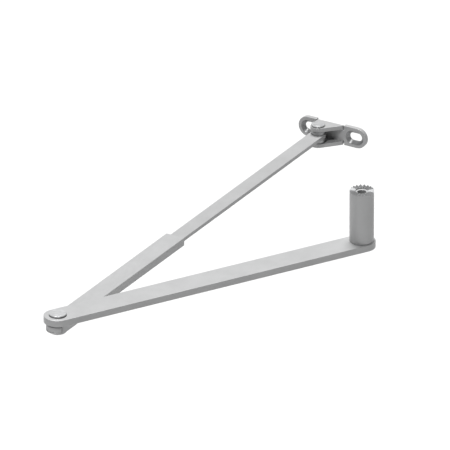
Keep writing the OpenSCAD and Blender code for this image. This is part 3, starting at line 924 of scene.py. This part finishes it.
def make_bracket_pin():
    """The pin through the lugs and the bar, with its head on the upper lug."""
    bm = headed_pin("bracket_pin", "bracket_circlip", BRACKET_HIGH, PIN_SHANK, rim=0.9 * MM,
                    inset=0.8 * MM)
    finish_piece(bm, "bracket_pin_turned", PIN_STEEL, "bracket", ["bracket_pin"], at(PIN))


def make_spacer(node, name, collar=0):
    """A turned ring. collar is the height of the narrower step at its top."""
    bm = bmesh.new()
    low, high = span(node, 2)
    outer, bore, step = radius_of(node), PIN_SHANK + 0.05 * MM, 1.6 * MM
    if collar:
        profile = [(outer - step, high, 0), (outer - step, high - collar, 0),
                   (outer, high - collar, 0.1 * MM)]
    else:
        profile = [(outer, high, 0.25 * MM)]
    profile += [(outer, low, 0.25 * MM), (bore, low, 0.2 * MM), (bore, high, 0.2 * MM)]
    lathe(bm, soften(profile))
    finish_piece(bm, name, ZINC, "bracket", [node], at(PIN))


def make_bracket_circlip():
    """The snap ring in the bracket pin's groove."""
    bm = bmesh.new()
    low, high = span("bracket_circlip", 2)
    open_ring(bm, 6.4 * MM, lobed(3.52 * MM, 0.9 * MM), low, high, 5.2 * MM)
    finish_piece(bm, "bracket_snap_ring", BLACK_STEEL, "bracket", ["bracket_circlip"],
                 at(PIN))


# ---------------------------------------------------------------- pieces that keep their CAD shape

def dress_cad(node, material):
    """A CAD node that stays as it is, with a detailed material."""
    mesh = frame["nodes"][node].data
    mesh.materials.clear()
    mesh.materials.append(material)


# ---------------------------------------------------------------- stage, light and camera

def stage_floor():
    """A pale floor well below the arm, which hangs from its spindle."""
    drop, half = 0.6, 60.0
    mesh = bpy.data.meshes.new("floor")
    z = cad_box[0].z - drop
    corners = [(-half, -half, z), (half, -half, z), (half, half, z), (-half, half, z)]
    mesh.from_pydata(corners, [], [(0, 1, 2, 3)])
    floor = bpy.data.objects.new("floor", mesh)
    bpy.context.scene.collection.objects.link(floor)
    n = Nodes("pale_floor")
    cloud = n.noise(n.coordinates(), 0.002)
    n.link(n.colours(cloud, (0.3, grey(0.43)), (0.7, grey(0.44))), n.shader.inputs["Base Color"])
    n.shader.inputs["Roughness"].default_value = 0.9
    n.shader.inputs["Specular IOR Level"].default_value = 0.0
    mesh.materials.append(n.material)


def sun(name, azimuth, elevation, strength, spread):
    """A soft distant light. azimuth is the side it comes from, in degrees anticlockwise from +X."""
    light = bpy.data.lights.new(name, "SUN")
    light.energy, light.angle = strength, math.radians(spread)
    lamp = bpy.data.objects.new(name, light)
    a, e = math.radians(azimuth), math.radians(elevation)
    source = Vector((math.cos(a) * math.cos(e), math.sin(a) * math.cos(e), math.sin(e)))
    lamp.rotation_mode = "QUATERNION"
    lamp.rotation_quaternion = source.to_track_quat("Z", "Y")
    bpy.context.scene.collection.objects.link(lamp)


def light_stage():
    """A dim even sky above, bright white from the horizon down, a soft key light and a weak fill."""
    world = bpy.data.worlds.new("studio")
    world.use_nodes = True
    tree = world.node_tree
    where = tree.nodes.new("ShaderNodeTexCoord")
    height = tree.nodes.new("ShaderNodeSeparateXYZ")
    sky = tree.nodes.new("ShaderNodeMapRange")
    for limit, value in [("From Min", -0.02), ("From Max", 0.05), ("To Min", 1.0), ("To Max", 0.16)]:
        sky.inputs[limit].default_value = value
    tree.links.new(where.outputs["Generated"], height.inputs["Vector"])
    tree.links.new(height.outputs["Z"], sky.inputs["Value"])
    tree.links.new(sky.outputs["Result"], tree.nodes["Background"].inputs["Strength"])
    tree.nodes["Background"].inputs["Color"].default_value = (1, 1, 1, 1)
    bpy.context.scene.world = world
    sun("key", azimuth=40, elevation=75, strength=6.15, spread=25)
    sun("fill", azimuth=180, elevation=56, strength=1.75, spread=15)


def place_camera():
    """A very long lens far away, so that parallel edges stay nearly parallel.

    azimuth is the side it stands on, from -Y towards +X.
    """
    azimuth, elevation, distance = math.radians(-59.78), math.radians(25.31), 21.3
    look_at = Vector((-0.0713, 0.1381, -0.0461))
    back = Vector((math.sin(azimuth) * math.cos(elevation), -math.cos(azimuth) * math.cos(elevation),
                   math.sin(elevation)))
    camera = bpy.data.cameras.new("camera")
    camera.lens, camera.sensor_width = 1500, 36
    camera.clip_start, camera.clip_end = 1, 200
    holder = bpy.data.objects.new("camera", camera)
    holder.location = look_at + back * distance
    holder.rotation_mode = "QUATERNION"
    holder.rotation_quaternion = back.to_track_quat("Z", "Y")
    bpy.context.scene.collection.objects.link(holder)
    bpy.context.scene.camera = holder


make_main_arm()
make_spindle()
make_drive_screw()
make_drive_screw_ring()
make_elbow_pin()
make_elbow_disc()
make_elbow_circlip()
make_hinge_block()
make_sleeve()
make_block_screws()
make_guide_bush()
make_clamp_nuts()
make_clamp_screws()
make_bar()
make_bracket()
make_bracket_pin()
make_spacer("upper_spacer", "upper_spacer_ring", collar=0.8 * MM)
make_spacer("lower_spacer", "lower_spacer_ring")
make_bracket_circlip()
for node in ("elbow_bush", "bar_bush", "clamp_pad"):
    dress_cad(node, BRONZE)
for node in ("elbow_thrust_washer", "slider_shoe"):
    dress_cad(node, POLYMER)
dress_cad("slider_pin", BLACK_STEEL)

stage_floor()
light_stage()
place_camera()
bpy.context.scene.view_settings.view_transform = "Standard"
